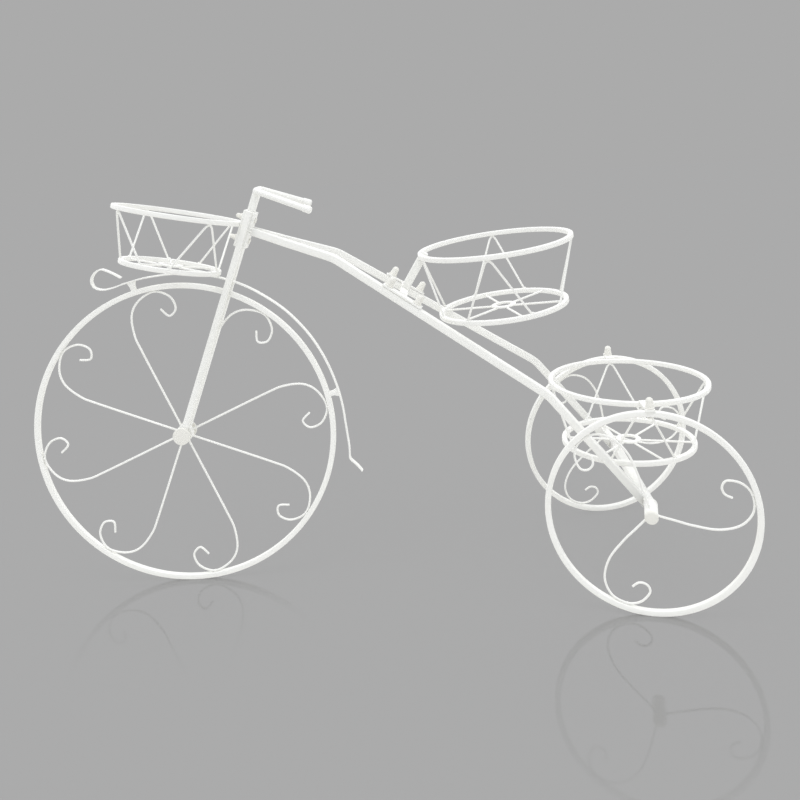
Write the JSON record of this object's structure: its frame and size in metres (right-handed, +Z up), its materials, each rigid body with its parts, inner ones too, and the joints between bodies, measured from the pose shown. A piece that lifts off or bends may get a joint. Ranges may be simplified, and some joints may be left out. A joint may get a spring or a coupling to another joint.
{
  "type": "planter",
  "caption": "White tricycle plant stand with a high front wheel, scrolled wire spokes, a curled mudguard and open wire baskets for pots.",
  "frame": {"origin": "centre of the bounding box on the floor", "axes": "+X from the front wheel to the rear wheels, +Y across the stand, +Z up"},
  "size_m": [0.9818, 0.3514, 0.5674],
  "materials": {
    "powder_coat": "glossy white powder coat",
    "painted_fastener": "satin white paint",
    "end_cap": "satin white plastic"
  },
  "bodies": {
    "frame": {"basket_bolt_far": "painted_fastener", "basket_bolt_near": "painted_fastener", "bracket_bolt_far_front": "painted_fastener", "bracket_bolt_far_rear": "painted_fastener", "bracket_bolt_near_front": "painted_fastener", "bracket_bolt_near_rear": "painted_fastener", "fork_leg_far": "powder_coat", "fork_leg_near": "powder_coat", "frame_bar_far": "powder_coat", "frame_bar_near": "powder_coat", "front_axle_bolt": "painted_fastener", "front_axle_nut": "painted_fastener", "front_basket_cage": "powder_coat", "front_basket_floor": "powder_coat", "front_basket_rim": "powder_coat", "grip_cap_far": "end_cap", "grip_cap_near": "end_cap", "handlebar": "powder_coat", "head_bolt_lower": "painted_fastener", "head_bolt_upper": "painted_fastener", "head_plate": "powder_coat", "middle_basket_cage": "powder_coat", "middle_basket_floor": "powder_coat", "middle_basket_rim": "powder_coat", "rear_axle_beam": "powder_coat", "rear_axle_bolt_far": "painted_fastener", "rear_axle_bolt_near": "painted_fastener", "rear_basket_cage": "powder_coat", "rear_basket_floor": "powder_coat", "rear_basket_rim": "powder_coat", "rear_hub_far": "powder_coat", "rear_hub_near": "powder_coat", "rear_rim_far": "powder_coat", "rear_rim_near": "powder_coat", "rear_spoke_1_far": "powder_coat", "rear_spoke_1_near": "powder_coat", "rear_spoke_2_far": "powder_coat", "rear_spoke_2_near": "powder_coat", "rear_spoke_3_far": "powder_coat", "rear_spoke_3_near": "powder_coat", "stem": "powder_coat"},
    "front_wheel": {"front_hub": "powder_coat", "front_rim": "powder_coat", "front_spoke_1": "powder_coat", "front_spoke_2": "powder_coat", "front_spoke_3": "powder_coat", "front_spoke_4": "powder_coat", "front_spoke_5": "powder_coat", "front_spoke_6": "powder_coat", "front_spoke_7": "powder_coat", "front_spoke_8": "powder_coat", "mudguard": "powder_coat", "mudguard_stay_front": "powder_coat", "mudguard_stay_rear": "powder_coat"}
  },
  "joints": [
    {"name": "front_wheel_turn", "type": "hinge", "parent": "frame", "child": "front_wheel", "pos_m": [-0.27212, 0.00489, 0.21875], "axis": [0, 1, 0], "range_deg": [-73, 4]}
  ]
}
